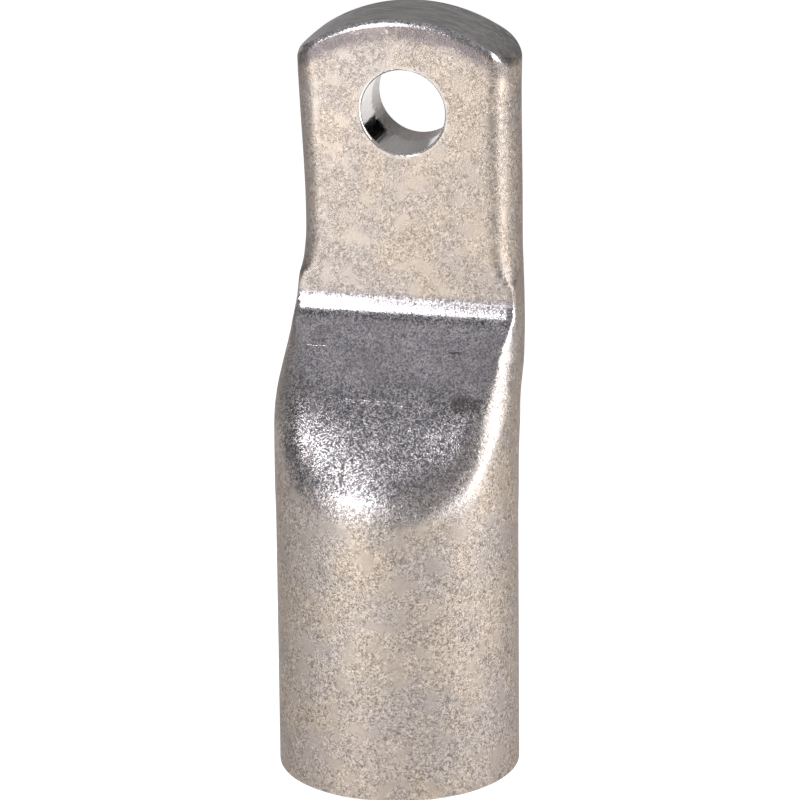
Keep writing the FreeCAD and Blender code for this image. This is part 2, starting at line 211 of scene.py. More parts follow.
@dataclass
class Blank:
    """The plain tube before it is pressed: bore, wall, rims and closed far end, as one skin."""

    outer: float = 12.0
    inner: float = 9.5
    length: float = 75.35
    bore_end: float = 29.0
    slit_end: float = 46.0
    lead: float = 0.5
    rim: float = 0.15
    around: int = 256
    press_from: float = 26.0
    press_to: float = 50.0
    lip_rings: int = 6
    cap_rings: int = 14

    def rings(self) -> list[tuple[float, float, Layer, float, float]]:
        """Every ring from the bore's closed end to the palm's.

        Returns:
            Radius, height, layer, share drawn in to the middle and share of the end's rounding.
        """
        inside, outside = Layer.INSIDE, Layer.OUTSIDE
        rows = [(self.inner, self.slit_end, inside, 1.0, 0.0)]
        for height in np.linspace(self.slit_end, self.bore_end, 40):
            rows.append((self.inner, height, inside, 0.0, 0.0))
        for height in np.linspace(self.bore_end, self.lead, 12)[1:]:
            rows.append((self.inner, height, inside, 0.0, 0.0))
        for radius in np.linspace(self.inner + self.lead, self.outer - self.rim, 5):
            rows.append((radius, 0.0, inside, 0.0, 0.0))
        for angle in np.radians((30.0, 60.0)):
            rows.append((self.outer - self.rim * (1 - math.sin(angle)),
                         self.rim * (1 - math.cos(angle)), inside, 0.0, 0.0))
        heights = np.concatenate((
            np.linspace(self.rim, self.press_from, 27)[:-1],
            np.linspace(self.press_from, self.press_to, 151)[:-1],
            np.linspace(self.press_to, self.length, 70),
        ))
        for height in heights:
            rows.append((self.outer, height, outside, 0.0, 0.0))
        for step in range(1, self.lip_rings + 1):
            rows.append((self.outer, self.length, outside, 0.0, step / self.lip_rings))
        for step in range(1, self.cap_rings + 1):
            rows.append((self.outer, self.length, outside, step / self.cap_rings, 1.0))
        return rows

    def build(self) -> bpy.types.Object:
        """Makes the skin as a grid of rings, with what each point is kept in attributes.

        Returns:
            The blank, which still has to be pressed.
        """
        rows = self.rings()
        angles = np.arange(self.around) * 2 * math.pi / self.around
        ring = np.stack((np.cos(angles), np.sin(angles)), axis=1)
        points = np.concatenate([
            np.column_stack((ring * radius, np.full(self.around, height))) for radius, height, *_ in rows
        ])
        faces = []
        for row in range(len(rows) - 1):
            low = row * self.around
            for step in range(self.around):
                ahead = (step + 1) % self.around
                faces.append((low + step, low + ahead, low + self.around + ahead, low + self.around + step))
        mesh = bpy.data.meshes.new("blank")
        mesh.from_pydata((points * MM).tolist(), [], faces)
        for name, column in (("layer", 2), ("drawn", 3), ("lip", 4)):
            values = [row[column].value if column == 2 else row[column] for row in rows]
            attribute = mesh.attributes.new(name, "FLOAT", "POINT")
            attribute.data.foreach_set("value", np.repeat(values, self.around).astype(np.float32))
        blank = bpy.data.objects.new("blank", mesh)
        bpy.context.scene.collection.objects.link(blank)
        return blank


@dataclass
class Press:
    """The tools that flatten the tube, as a rule that brings each point of the blank to its place."""

    back: float = 12.0
    face: float = 3.85
    crease: float = 46.0
    crease_blend: float = 0.72
    slope_angle: float = 47.4
    bend_start: float = 10.6
    bend_radius: float = 75.0
    kink: float = 0.03
    dome_radius: float = 35.0
    toe: float = 29.2
    neck_shift: float = 0.13
    palm_shift: float = -0.33
    end_radius: float = 16.5
    end_shift: float = -0.23
    end_from: float = 56.0
    end_spine: float = 6.8
    front_lip: float = 0.42
    back_lip: float = 0.12
    lip_rise: float = 2.6
    lip_turn: float = 56.0
    slit_half: float = 7.25
    slit_gap: float = 0.3
    rounds: int = 48
    # Height against half width, then the corners' depth across and through the metal
    half_width: tuple[tuple[float, float], ...] = (
        (26.0, 12.0), (30.0, 12.06), (35.5, 12.04), (37.5, 11.94), (39.5, 11.87), (41.5, 11.74),
        (43.5, 11.48), (46.0, 11.2), (50.0, 10.9), (54.0, 10.82), (60.0, 10.87), (68.0, 11.0),
        (76.0, 11.14))
    back_across: tuple[tuple[float, float], ...] = (
        (26.0, 12.0), (30.0, 12.0), (36.5, 10.8), (41.5, 7.0), (46.0, 3.6), (50.0, 2.7), (76.0, 2.4))
    back_through: tuple[tuple[float, float], ...] = (
        (26.0, 12.0), (30.0, 12.0), (36.5, 10.8), (41.5, 7.4), (46.0, 4.9), (50.0, 4.2), (76.0, 4.07))
    front_across: tuple[tuple[float, float], ...] = (
        (26.0, 0.9), (32.0, 1.1), (36.0, 2.0), (40.0, 2.7), (43.0, 2.0), (45.5, 0.7), (47.8, 0.45),
        (49.4, 1.3), (51.0, 2.1), (54.0, 2.4), (76.0, 2.4))
    front_through: tuple[tuple[float, float], ...] = (
        (26.0, 0.9), (32.0, 1.1), (36.0, 2.0), (40.0, 2.7), (43.0, 2.0), (45.5, 1.0), (47.8, 0.9),
        (49.4, 2.2), (51.0, 3.4), (54.0, 4.07), (76.0, 4.07))

    def sizes(self) -> dict[str, float]:
        """The plain sizes, which become the tree's named inputs."""
        return {name: value for name, value in vars(self).items() if isinstance(value, float)}

    def surface(self, size: dict[str, Term], x: Term, y: Term, z: Term) -> tuple[Term, Term, Term]:
        """How far a place is outside the finished metal.

        Args:
            size: the press's sizes, as terms.
            x: place across, in millimetres.
            y: place from front to back.
            z: height.

        Returns:
            Distance from the whole lug, from the tube's own skin and from the press tool.
        """
        x = x - self.lean(size, z)
        width = z.curve(self.half_width)
        front = y.math("LESS_THAN", 0.0)
        across = mix(front, z.curve(self.back_across), width)
        through = mix(front, z.curve(self.back_through), width)
        side = (abs(x) - (width - across)).at_least(0.0) / across
        behind = y - (size["back"] - through)
        depth = mix(front, behind, -y).at_least(0.0) / through
        skin = (hypot(side, depth) - 1.0) * across.at_most(through)

        palm = size["face"] - y
        angle = size["slope_angle"].math("RADIANS")
        sine, cosine = angle.math("SINE"), angle.math("COSINE")
        fall = size["crease"] - z
        down = palm * sine + fall * cosine
        off = palm * cosine - fall * sine
        bent = (down - size["bend_start"]).at_least(0.0)
        slope = hypot(bent, off + size["bend_radius"]) - size["bend_radius"] + bent * size["kink"]
        slope = slope + x * x * down.ramp(11.0, 20.0) / (size["dome_radius"] * 2.0)
        round_off = size["crease_blend"]
        near_palm = (round_off - palm).at_least(0.0)
        near_slope = (round_off - slope).at_least(0.0)
        tool = palm.at_most(slope).at_least(round_off) - hypot(near_palm, near_slope)

        round_across = z.curve(self.front_across)
        round_through = z.curve(self.front_through)
        a = skin / round_across + 1.0
        b = tool / round_through + 1.0
        corner = hypot(a.at_least(0.0), b.at_least(0.0)) + a.at_least(b).at_most(0.0) - 1.0
        return corner * round_across.at_most(round_through), skin, tool

    def lean(self, size: dict[str, Term], z: Term) -> Term:
        """How far the metal stands to the side of the barrel's axis at a height."""
        return z.ramp(40.0, 50.0) * size["neck_shift"] + z.ramp(54.0, 74.0) * size["palm_shift"]


@dataclass
class StudHole:
    """The punched hole for the stud, made by a round punch with flared ends."""

    radius: float = 4.2
    height: float = 66.1
    rim: float = 0.35
    flare: float = 72.0
    past: float = 1.0
    sides: int = 144
    steps: int = 6

    def mouth(self) -> float:
        """Radius of the hole at the palm's face, over its rounded rim."""
        return self.radius + self.rim * (1 - math.cos(math.radians(self.flare)))

    def profile(self, face: float, back: float) -> list[tuple[float, float]]:
        """Half outline of the punch from front to back, as radius and place along Y."""
        rows = []
        for turn in np.radians(np.linspace(self.flare, 0.0, self.steps)):
            rows.append((self.radius + self.rim * (1 - math.cos(turn)),
                         face + self.rim * (math.sin(math.radians(self.flare)) - math.sin(turn))))
        lean = math.tan(math.radians(self.flare))
        start = (rows[0][0] + self.past * lean, face - self.past)
        rows = [(0.0, start[1]), start, *rows]
        middle = (face + back) / 2
        return rows + [(radius, 2 * middle - y) for radius, y in reversed(rows)]

    def build(self, face: float, back: float, material: bpy.types.Material) -> bpy.types.Object:
        """Makes the punch that cuts the hole.

        Args:
            face: where the palm's front is.
            back: where its contact face is.
            material: finish that the cut leaves.

        Returns:
            The punch, which is only a tool.
        """
        form = bmesh.new()
        angles = np.arange(self.sides) * 2 * math.pi / self.sides
        rings = []
        for radius, y in self.profile(face, back):
            if radius == 0.0:
                rings.append([form.verts.new((0.0, y * MM, self.height * MM))])
                continue
            rings.append([form.verts.new((radius * math.cos(a) * MM, y * MM,
                                          (self.height + radius * math.sin(a)) * MM)) for a in angles])
        for low, high in zip(rings, rings[1:]):
            for step in range(self.sides):
                ahead = (step + 1) % self.sides
                corners = [low[step % len(low)], low[ahead % len(low)],
                           high[ahead % len(high)], high[step % len(high)]]
                form.faces.new(list(dict.fromkeys(corners)))
        bmesh.ops.recalc_face_normals(form, faces=form.faces)
        mesh = bpy.data.meshes.new("punch")
        form.to_mesh(mesh)
        form.free()
        mesh.materials.append(material)
        punch = bpy.data.objects.new("punch", mesh)
        bpy.context.scene.collection.objects.link(punch)
        return punch


@dataclass
class Lug:
    """The whole lug: its blank, the press and the punch."""

    finishes: dict[Finish, bpy.types.Material]
    blank: Blank = field(default_factory=Blank)
    press: Press = field(default_factory=Press)
    hole: StudHole = field(default_factory=StudHole)

    def pressing_tree(self) -> bpy.types.NodeTree:
        """The tree that presses the blank.

        Returns:
            A geometry node tree with the blank as its first input.
        """
        tree = bpy.data.node_groups.new("pressed_tube", "GeometryNodeTree")
        tree.interface.new_socket("Blank", in_out="INPUT", socket_type="NodeSocketGeometry")
        tree.interface.new_socket("Punch", in_out="INPUT", socket_type="NodeSocketObject")
        for name in self.press.sizes():
            tree.interface.new_socket(name, in_out="INPUT", socket_type="NodeSocketFloat")
        tree.interface.new_socket("Lug", in_out="OUTPUT", socket_type="NodeSocketGeometry")
        inlet = tree.nodes.new("NodeGroupInput")
        outlet = tree.nodes.new("NodeGroupOutput")
        press, blank = self.press, self.blank
        size = {name: Term(tree, inlet.outputs[name]) for name in press.sizes()}
        geometry = inlet.outputs["Blank"]

        x0, y0, z0 = self.place(tree)
        radius = hypot(x0, y0)
        spread_x, spread_y = x0 / radius, y0 / radius
        width = z0.curve(press.half_width)
        palm_middle = (size["back"] + size["face"]) * 0.5
        middle = z0.ramp(size["toe"], size["crease"], smooth=False) * palm_middle
        half_depth = size["back"] - middle
        ray_x, ray_y = spread_x * width, spread_y * half_depth
        ray = hypot(ray_x, ray_y)
        for name, term in (("ray_x", ray_x / ray), ("ray_y", ray_y / ray), ("middle", middle)):
            geometry = self.store(tree, geometry, name, term)
        outside = self.named(tree, "layer").above(0.5)
        far = 1.35 * blank.outer
        start_x = self.named(tree, "ray_x") * far + press.lean(size, z0)
        start_y = self.named(tree, "ray_y") * far + self.named(tree, "middle")
        geometry = self.move(tree, geometry, outside, start_x, start_y, z0)

        repeat_in = tree.nodes.new("GeometryNodeRepeatInput")
        repeat_out = tree.nodes.new("GeometryNodeRepeatOutput")
        repeat_in.pair_with_output(repeat_out)
        repeat_in.inputs["Iterations"].default_value = press.rounds
        tree.links.new(geometry, repeat_in.inputs["Geometry"])
        x, y, z = self.place(tree)
        gap = press.surface(size, x, y, z)[0] * 0.8
        step_x, step_y = self.named(tree, "ray_x") * gap, self.named(tree, "ray_y") * gap
        closer = self.move(tree, repeat_in.outputs["Geometry"], outside, x - step_x, y - step_y, z)
        tree.links.new(closer, repeat_out.inputs["Geometry"])
        geometry = repeat_out.outputs["Geometry"]

        geometry = self.close_bore(tree, geometry, size)
        geometry = self.round_end(tree, geometry, size)
        merge = tree.nodes.new("GeometryNodeMergeByDistance")
        merge.inputs["Distance"].default_value = 1e-6
        tree.links.new(geometry, merge.inputs["Geometry"])
        geometry = self.mark(tree, merge.outputs["Geometry"], size)
        geometry = self.punch(tree, geometry, inlet.outputs["Punch"])
        realize = tree.nodes.new("GeometryNodeRealizeInstances")
        tree.links.new(geometry, realize.inputs["Geometry"])
        geometry = self.dress(tree, realize.outputs["Geometry"])
        tree.links.new(geometry, outlet.inputs["Lug"])
        return tree

    def mark(self, tree: bpy.types.NodeTree, geometry: bpy.types.NodeSocket,
             size: dict[str, Term]) -> bpy.types.NodeSocket:
        """Keeps in attributes what the press did to each place, for the finishes to read.

        Args:
            tree: the pressing tree.
            geometry: the pressed skin.
            size: the press's sizes.

        Returns:
            The skin with "rubbed_and_sheen" where the press slid over it and on the front lip at the cut end,
            whose lighter colour there is a painted highlight; "ridge" along the slope's rounded sides, painted
            lighter as a painted highlight; and painted shade in "crease_shade" beside the crease, "rim" round
            the toe and "lip_shade" below the cut end.
        """
        x, y, z = self.place(tree)
        gap, skin, tool = self.press.surface(size, x, y, z)
        below = z.ramp(self.press.crease + 1.5, self.press.crease + 0.7)
        rubbed_and_sheen = tool.ramp(-0.7, -0.1) * below * (1.0 - skin.ramp(-1.2, -0.4) * z.ramp(36.0, 33.0) * 0.7)
        # The slope's rounded sides, reaching further down on the right; the plating makes them smoother and
        # paints them lighter there, a painted highlight.
        low = mix(x.ramp(-1.0, 4.0), z.ramp(31.0, 36.0), z.ramp(28.0, 31.0))
        ridge = tool.ramp(-2.6, -0.6) * skin.ramp(-2.6, -0.6) * low * z.ramp(45.0, 42.5)
        # Painted shade: two dark lines on the metal just above and just below the crease's fillet.
        fall = size["crease"] - z
        above = 1.0 - abs(fall + 1.15) / 0.5
        under = 1.0 - abs(fall - 0.75) / 0.45
        crease_shade = above.at_least(under).at_least(0.0) * tool.ramp(-0.5, -0.1)
        # Painted shade along the slope's left rounding and round its toe, fainter towards the right.
        left = x.ramp(-3.0, -7.0)
        rim = mix(left, skin.ramp(-1.5, -0.5), skin.ramp(-4.2, -1.4)) * tool.ramp(-1.0, -0.4)
        rim = rim * mix(left, z.ramp(37.5, 33.5), z.ramp(42.0, 38.0))
        rim = rim * (1.0 - x.ramp(0.0, 5.0) * 0.75)
        # The front lip at the cut end takes the finish of the slid-over slope: its lower roughness is burnish,
        # its lighter colour a painted highlight.
        burnished = self.named(tree, "lip").above(0.45) * y.ramp(7.0, 5.0)
        burnished = burnished * self.named(tree, "drawn").math("LESS_THAN", 0.01)
        # Painted shade: a dark band on the palm's face just below the lip at the cut end.
        away, radius = x - size["end_shift"], size["end_radius"]
        edge = (radius * radius - away * away).at_least(0.0).root() - radius + self.blank.length
        lip_shade = (edge - z).ramp(2.6, 1.3) * y.ramp(6.5, 4.6) * (1.0 - burnished)
        rubbed_and_sheen = rubbed_and_sheen.at_least(burnished)
        for name, term in (("rubbed_and_sheen", rubbed_and_sheen), ("ridge", ridge), ("crease_shade", crease_shade), ("rim", rim),
                           ("lip_shade", lip_shade)):
            geometry = self.store(tree, geometry, name, term)
        return geometry

    def dress(self, tree: bpy.types.NodeTree, geometry: bpy.types.NodeSocket) -> bpy.types.NodeSocket:
        """Gives each region of the skin its finish, and lets go of the blank's own attributes."""
        x, y, z = self.place(tree)
        inside = 1.0 - self.named(tree, "layer").above(0.5)
        shear = self.named(tree, "drawn").above(0.01) * z.above(self.press.end_from)
        away = hypot(x, z - self.hole.height)
        wall = away.math("LESS_THAN", self.hole.mouth() * 0.9995)
        for finish, where in ((Finish.PLATE, None), (Finish.CUT, shear.at_least(inside * (1.0 - z.above(0.4)))),
                              (Finish.BORE, inside * z.above(0.4)), (Finish.HOLE, wall)):
            node = tree.nodes.new("GeometryNodeSetMaterial")
            node.inputs["Material"].default_value = self.finishes[finish]
            tree.links.new(geometry, node.inputs["Geometry"])
            if where is not None:
                tree.links.new(where.socket, node.inputs["Selection"])
            geometry = node.outputs["Geometry"]
        for name in ("ray_x", "ray_y", "middle", "layer", "drawn", "lip"):
            node = tree.nodes.new("GeometryNodeRemoveAttribute")
            node.inputs["Name"].default_value = name
            tree.links.new(geometry, node.inputs["Geometry"])
            geometry = node.outputs["Geometry"]
        return geometry

    def punch(self, tree: bpy.types.NodeTree, geometry: bpy.types.NodeSocket,
              punch: bpy.types.NodeSocket) -> bpy.types.NodeSocket:
        """Cuts the stud hole and keeps its rims crisp."""
        info = tree.nodes.new("GeometryNodeObjectInfo")
        tree.links.new(punch, info.inputs["Object"])
        cut = tree.nodes.new("GeometryNodeMeshBoolean")
        cut.operation = "DIFFERENCE"
        cut.solver = "EXACT"
        tree.links.new(geometry, cut.inputs["Mesh 1"])
        tree.links.new(info.outputs["Geometry"], cut.inputs["Mesh 2"])
        smooth = tree.nodes.new("GeometryNodeSetShadeSmooth")
        smooth.domain = "FACE"
        smooth.inputs["Shade Smooth"].default_value = True
        tree.links.new(cut.outputs["Mesh"], smooth.inputs["Geometry"])
        angle = Term(tree, tree.nodes.new("GeometryNodeInputMeshEdgeAngle").outputs["Unsigned Angle"])
        crisp = tree.nodes.new("GeometryNodeSetShadeSmooth")
        crisp.domain = "EDGE"
        crisp.inputs["Shade Smooth"].default_value = False
        tree.links.new(smooth.outputs["Geometry"], crisp.inputs["Geometry"])
        tree.links.new(angle.above(math.radians(28.0)).socket, crisp.inputs["Selection"])
        return crisp.outputs["Geometry"]

    def close_bore(self, tree: bpy.types.NodeTree, geometry: bpy.types.NodeSocket,
                   size: dict[str, Term]) -> bpy.types.NodeSocket:
        """Brings the bore's skin together into a thin slit."""
        blank = self.blank
        x, y, z = self.place(tree)
        shut = z.ramp(blank.bore_end, size["crease"], smooth=False)
        drawn = self.named(tree, "drawn")
        slit_x = x * size["slit_half"] / blank.inner
        slit_y = y * size["slit_gap"] / blank.inner * (1.0 - drawn) + (size["back"] + size["face"]) * 0.5
        inside = 1.0 - self.named(tree, "layer").above(0.5)
        return self.move(tree, geometry, inside, mix(shut, x, slit_x), mix(shut, y, slit_y), z)

    def round_end(self, tree: bpy.types.NodeTree, geometry: bpy.types.NodeSocket,
                  size: dict[str, Term]) -> bpy.types.NodeSocket:
        """Rolls the palm's edge over towards the cut and bends the end to the cut's arc.

        The cutting tool drags the front edge over before it shears the rest, so the front has a
        deep roll that ends in a sharp edge, and the back hardly any.
        """
        blank = self.blank
        x, y, z = self.place(tree)
        outside = self.named(tree, "layer").above(0.5)
        drawn, lip = self.named(tree, "drawn"), self.named(tree, "lip")
        centre = (size["back"] + size["face"]) * 0.5
        foot_x = x.at_least(-size["end_spine"]).at_most(size["end_spine"])
        reach_x, reach_y = x - foot_x, y - centre
        reach = hypot(reach_x, reach_y).at_least(0.01)
        frontness = (-reach_y / reach).ramp(-0.4, 0.6)
        roll = mix(frontness, size["back_lip"], size["front_lip"])
        edge = size["lip_turn"].math("RADIANS")
        turn = lip * edge
        inset = roll * (1.0 - turn.math("COSINE")) / (1.0 - edge.math("COSINE"))
        keep = (reach - inset) / reach * (1.0 - drawn)
        top = z.ramp(blank.length - 6.0, blank.length)
        height = z - roll * size["lip_rise"] * top * (1.0 - turn.math("SINE") / edge.math("SINE"))
        new_x = foot_x + reach_x * keep
        new_y = reach_y * keep + centre
        away = new_x - size["end_shift"]
        arc = (size["end_radius"] * size["end_radius"] - away * away).at_least(0.0).root() - size["end_radius"]
        rise = height.ramp(size["end_from"], blank.length, smooth=False)
        return self.move(tree, geometry, outside, new_x, new_y, height + arc * rise)

    def place(self, tree: bpy.types.NodeTree) -> tuple[Term, Term, Term]:
        """A point's place in millimetres, as three terms."""
        position = tree.nodes.new("GeometryNodeInputPosition")
        split = tree.nodes.new("ShaderNodeSeparateXYZ")
        tree.links.new(position.outputs[0], split.inputs[0])
        x, y, z = (Term(tree, split.outputs[index]) / MM for index in range(3))
        return x, y, z

    def named(self, tree: bpy.types.NodeTree, name: str) -> Term:
        """Reads an attribute that the blank carries."""
        node = tree.nodes.new("GeometryNodeInputNamedAttribute")
        node.data_type = "FLOAT"
        node.inputs["Name"].default_value = name
        return Term(tree, node.outputs["Attribute"])

    def store(self, tree: bpy.types.NodeTree, geometry: bpy.types.NodeSocket, name: str,
              term: Term) -> bpy.types.NodeSocket:
        """Keeps a term in an attribute of every point."""
        node = tree.nodes.new("GeometryNodeStoreNamedAttribute")
        node.data_type = "FLOAT"
        node.domain = "POINT"
        node.inputs["Name"].default_value = name
        tree.links.new(geometry, node.inputs["Geometry"])
        tree.links.new(term.socket, node.inputs["Value"])
        return node.outputs["Geometry"]

    def move(self, tree: bpy.types.NodeTree, geometry: bpy.types.NodeSocket, where: Term,
             x: Term, y: Term, z: Term) -> bpy.types.NodeSocket:
        """Moves the points where a term is 1 to a place given in millimetres."""
        join = tree.nodes.new("ShaderNodeCombineXYZ")
        for index, term in enumerate((x, y, z)):
            tree.links.new((term * MM).socket, join.inputs[index])
        node = tree.nodes.new("GeometryNodeSetPosition")
        tree.links.new(geometry, node.inputs["Geometry"])
        tree.links.new(where.socket, node.inputs["Selection"])
        tree.links.new(join.outputs[0], node.inputs["Position"])
        return node.outputs["Geometry"]

    def build(self) -> bpy.types.Object:
        """Presses the blank.

        Returns:
            The lug as a plain mesh.
        """
        blank = self.blank.build()
        punch = self.hole.build(self.press.face, self.press.back, self.finishes[Finish.HOLE])
        modifier = blank.modifiers.new("press", "NODES")
        modifier.node_group = self.pressing_tree()
        sockets = {item.name: item.identifier for item in modifier.node_group.interface.items_tree}
        modifier[sockets["Punch"]] = punch
        for name, value in self.press.sizes().items():
            modifier[sockets[name]] = value
        graph = bpy.context.evaluated_depsgraph_get()
        mesh = bpy.data.meshes.new_from_object(blank.evaluated_get(graph))
        blank.modifiers.remove(modifier)
        for tool in (blank, punch):
            bpy.data.objects.remove(tool)
        mesh.name = "lug"
        piece = bpy.data.objects.new("lug", mesh)
        bpy.context.scene.collection.objects.link(piece)
        return piece


Tone = tuple[float, float, float]
Spot = "bpy.types.NodeSocket | tuple[float, float, float]"


class Pattern(Enum):
    """The patterns that more than one finish shows, each kept as one node group."""

    GRAIN = "plating_grain"
    SCRATCH = "fine_scratches"
    STREAK = "drawn_streaks"
    NICK = "single_nick"


def vector(tree: bpy.types.NodeTree, operation: str, *operands: Spot) -> bpy.types.NodeSocket:
    """Adds a Vector Math node.

    Args:
        tree: the node tree.
        operation: the Vector Math node's operation.
        operands: its vectors, in order.

    Returns:
        The node's vector, or its value for an operation that gives a number.
    """
    node = tree.nodes.new("ShaderNodeVectorMath")
    node.operation = operation
    for slot, value in zip(node.inputs, operands):
        if isinstance(value, bpy.types.NodeSocket):
            tree.links.new(value, slot)
        else:
            slot.default_value = value
    single = operation in ("DOT_PRODUCT", "LENGTH")
    return node.outputs["Value" if single else "Vector"]


def noise(tree: bpy.types.NodeTree, where: bpy.types.NodeSocket, scale: "Term | float", detail: float,
          distortion: float, seed: float) -> Term:
    """Adds a noise texture.

    Args:
        tree: the node tree.
        where: the point's place in millimetres.
        scale: how many features there are to a millimetre.
        detail: octaves of finer noise over it.
        distortion: how far the noise is bent, which draws its grains out like worms.
        seed: picks one noise among many.

    Returns:
        The noise, round one half.
    """
    node = tree.nodes.new("ShaderNodeTexNoise")
    node.noise_dimensions = "4D"
    tree.links.new(where, node.inputs["Vector"])
    feed(tree, node.inputs["Scale"], scale)
    node.inputs["W"].default_value = seed
    node.inputs["Detail"].default_value = detail
    node.inputs["Distortion"].default_value = distortion
    return Term(tree, node.outputs[0])


class PatternBook:
    """Builds each shared pattern once, when a finish first asks for it."""

    def __init__(self) -> None:
        """Starts with no pattern built."""
        self.groups: dict[Pattern, bpy.types.NodeTree] = {}

    def get(self, pattern: Pattern) -> bpy.types.NodeTree:
        """The node group of a pattern."""
        if pattern not in self.groups:
            makers = {Pattern.GRAIN: self.grain, Pattern.SCRATCH: self.scratch,
                      Pattern.STREAK: self.streak, Pattern.NICK: self.nick}
            self.groups[pattern] = makers[pattern](pattern.value)
        return self.groups[pattern]

    def start(self, name: str, inputs: dict[str, "float | Tone"],
              outputs: tuple[str, ...]) -> tuple[bpy.types.NodeTree, dict[str, bpy.types.NodeSocket]]:
        """Starts a node group.

        Args:
            name: the group's name.
            inputs: its inputs and their plain values, past the point's place in millimetres.
            outputs: the names of the values that it gives.

        Returns:
            The tree and its inputs.
        """
        tree = bpy.data.node_groups.new(name, "ShaderNodeTree")
        for title, value in {"Vector": (0.0, 0.0, 0.0), **inputs}.items():
            kind = "NodeSocketFloat" if isinstance(value, float) else "NodeSocketVector"
            tree.interface.new_socket(title, in_out="INPUT", socket_type=kind).default_value = value
        for title in outputs:
            tree.interface.new_socket(title, in_out="OUTPUT", socket_type="NodeSocketFloat")
        return tree, dict(tree.nodes.new("NodeGroupInput").outputs.items())

    def end(self, tree: bpy.types.NodeTree, results: dict[str, Term]) -> bpy.types.NodeTree:
        """Joins a group's results to its outputs."""
        outlet = tree.nodes.new("NodeGroupOutput")
        for title, term in results.items():
            tree.links.new(term.socket, outlet.inputs[title])
        return tree

    def grain(self, name: str) -> bpy.types.NodeTree:
        """Matt plating: worm-like grain, smooth spots in it and clouds of colour."""
        tree, given = self.start(name, {"Grain Scale": 3.0, "Spot Scale": 0.5},
                                 ("Grain", "Spot", "Cloud", "Hue"))
        where = given["Vector"]
        spots = Term(tree, given["Spot Scale"])
        grain = noise(tree, where, Term(tree, given["Grain Scale"]), 2.0, 1.4, 3.1)
        spot = noise(tree, where, spots, 1.5, 0.5, 11.7).ramp(0.50, 0.66)
        cloud = noise(tree, where, spots * 0.34, 3.0, 0.4, 21.3).ramp(0.36, 0.64)
        hue = noise(tree, where, spots * 0.7, 4.0, 0.8, 34.9).ramp(0.34, 0.66)
        return self.end(tree, {"Grain": grain.ramp(0.34, 0.66, smooth=False), "Spot": spot, "Cloud": cloud,
                               "Hue": hue})

    def scratch(self, name: str) -> bpy.types.NodeTree:
        """Short hair scratches, each its own way: cells of space, each with a thin plane through it."""
        tree, given = self.start(name, {"Spacing": 3.0, "Length": 2.0, "Width": 0.05}, ("Line", "Depth"))
        where = given["Vector"]
        cells = tree.nodes.new("ShaderNodeTexVoronoi")
        tree.links.new(where, cells.inputs["Vector"])
        scale = Term(tree, given["Spacing"]).math("POWER", -1.0)
        feed(tree, cells.inputs["Scale"], scale)
        away = vector(tree, "SUBTRACT", where, cells.outputs["Position"])
        turned = vector(tree, "NORMALIZE", vector(tree, "SUBTRACT", cells.outputs["Color"], (0.5, 0.5, 0.5)))
        off = abs(Term(tree, vector(tree, "DOT_PRODUCT", away, turned)))
        reach = Term(tree, vector(tree, "LENGTH", away)) * 2.0 / Term(tree, given["Length"])
        taper = reach.ramp(1.0, 0.4)
        line = (off / Term(tree, given["Width"])).ramp(1.0, 0.2) * taper
        split = tree.nodes.new("ShaderNodeSeparateXYZ")
        tree.links.new(cells.outputs["Color"], split.inputs[0])
        depth = Term(tree, split.outputs[1]).ramp(0.35, 1.0, smooth=False)
        return self.end(tree, {"Line": line * depth.above(0.001), "Depth": depth})

    def streak(self, name: str) -> bpy.types.NodeTree:
        """Marks of a tool that slid over the metal, drawn out along one way."""
        tree, given = self.start(name, {"Drawn": (0.2, 4.0, 4.0)}, ("Streak", "Fine"))
        where = vector(tree, "MULTIPLY", given["Vector"], given["Drawn"])
        streak = noise(tree, where, 1.0, 3.0, 0.3, 5.5)
        fine = noise(tree, where, 3.1, 2.0, 0.0, 15.2)
        return self.end(tree, {"Streak": streak.ramp(0.3, 0.7), "Fine": fine.ramp(0.3, 0.7)})

    def nick(self, name: str) -> bpy.types.NodeTree:
        """One scratch at its own place: a ragged groove and the metal pushed up on both its sides."""
        tree, given = self.start(name, {"Place": (0.0, 0.0, 0.0), "Along": (1.0, 0.0, 0.0),
                                        "Side": (0.0, 0.0, 1.0), "Length": 1.0, "Width": 0.1},
                                 ("Groove", "Lip"))
        away = vector(tree, "SUBTRACT", given["Vector"], given["Place"])
        along = Term(tree, vector(tree, "DOT_PRODUCT", away, given["Along"]))
        wander = noise(tree, given["Vector"], 1.6, 2.0, 0.0, 8.4) - 0.5
        width = Term(tree, given["Width"])
        side = Term(tree, vector(tree, "DOT_PRODUCT", away, given["Side"])) + wander * 0.35
        through = vector(tree, "CROSS_PRODUCT", given["Along"], given["Side"])
        deep = abs(Term(tree, vector(tree, "DOT_PRODUCT", away, through))).ramp(1.8, 1.2)
        ragged = noise(tree, given["Vector"], 5.0, 2.0, 0.0, 4.4).ramp(0.25, 0.6)
        reach = abs(along) * 2.0 / Term(tree, given["Length"])
        taper = reach.ramp(1.0, 0.55) * deep
        off = abs(side) / width
        groove = off.ramp(1.0, 0.45) * taper * ragged
        lip = (1.0 - abs(off - 1.5) * 1.6).at_least(0.0) * taper
        return self.end(tree, {"Groove": groove, "Lip": lip})


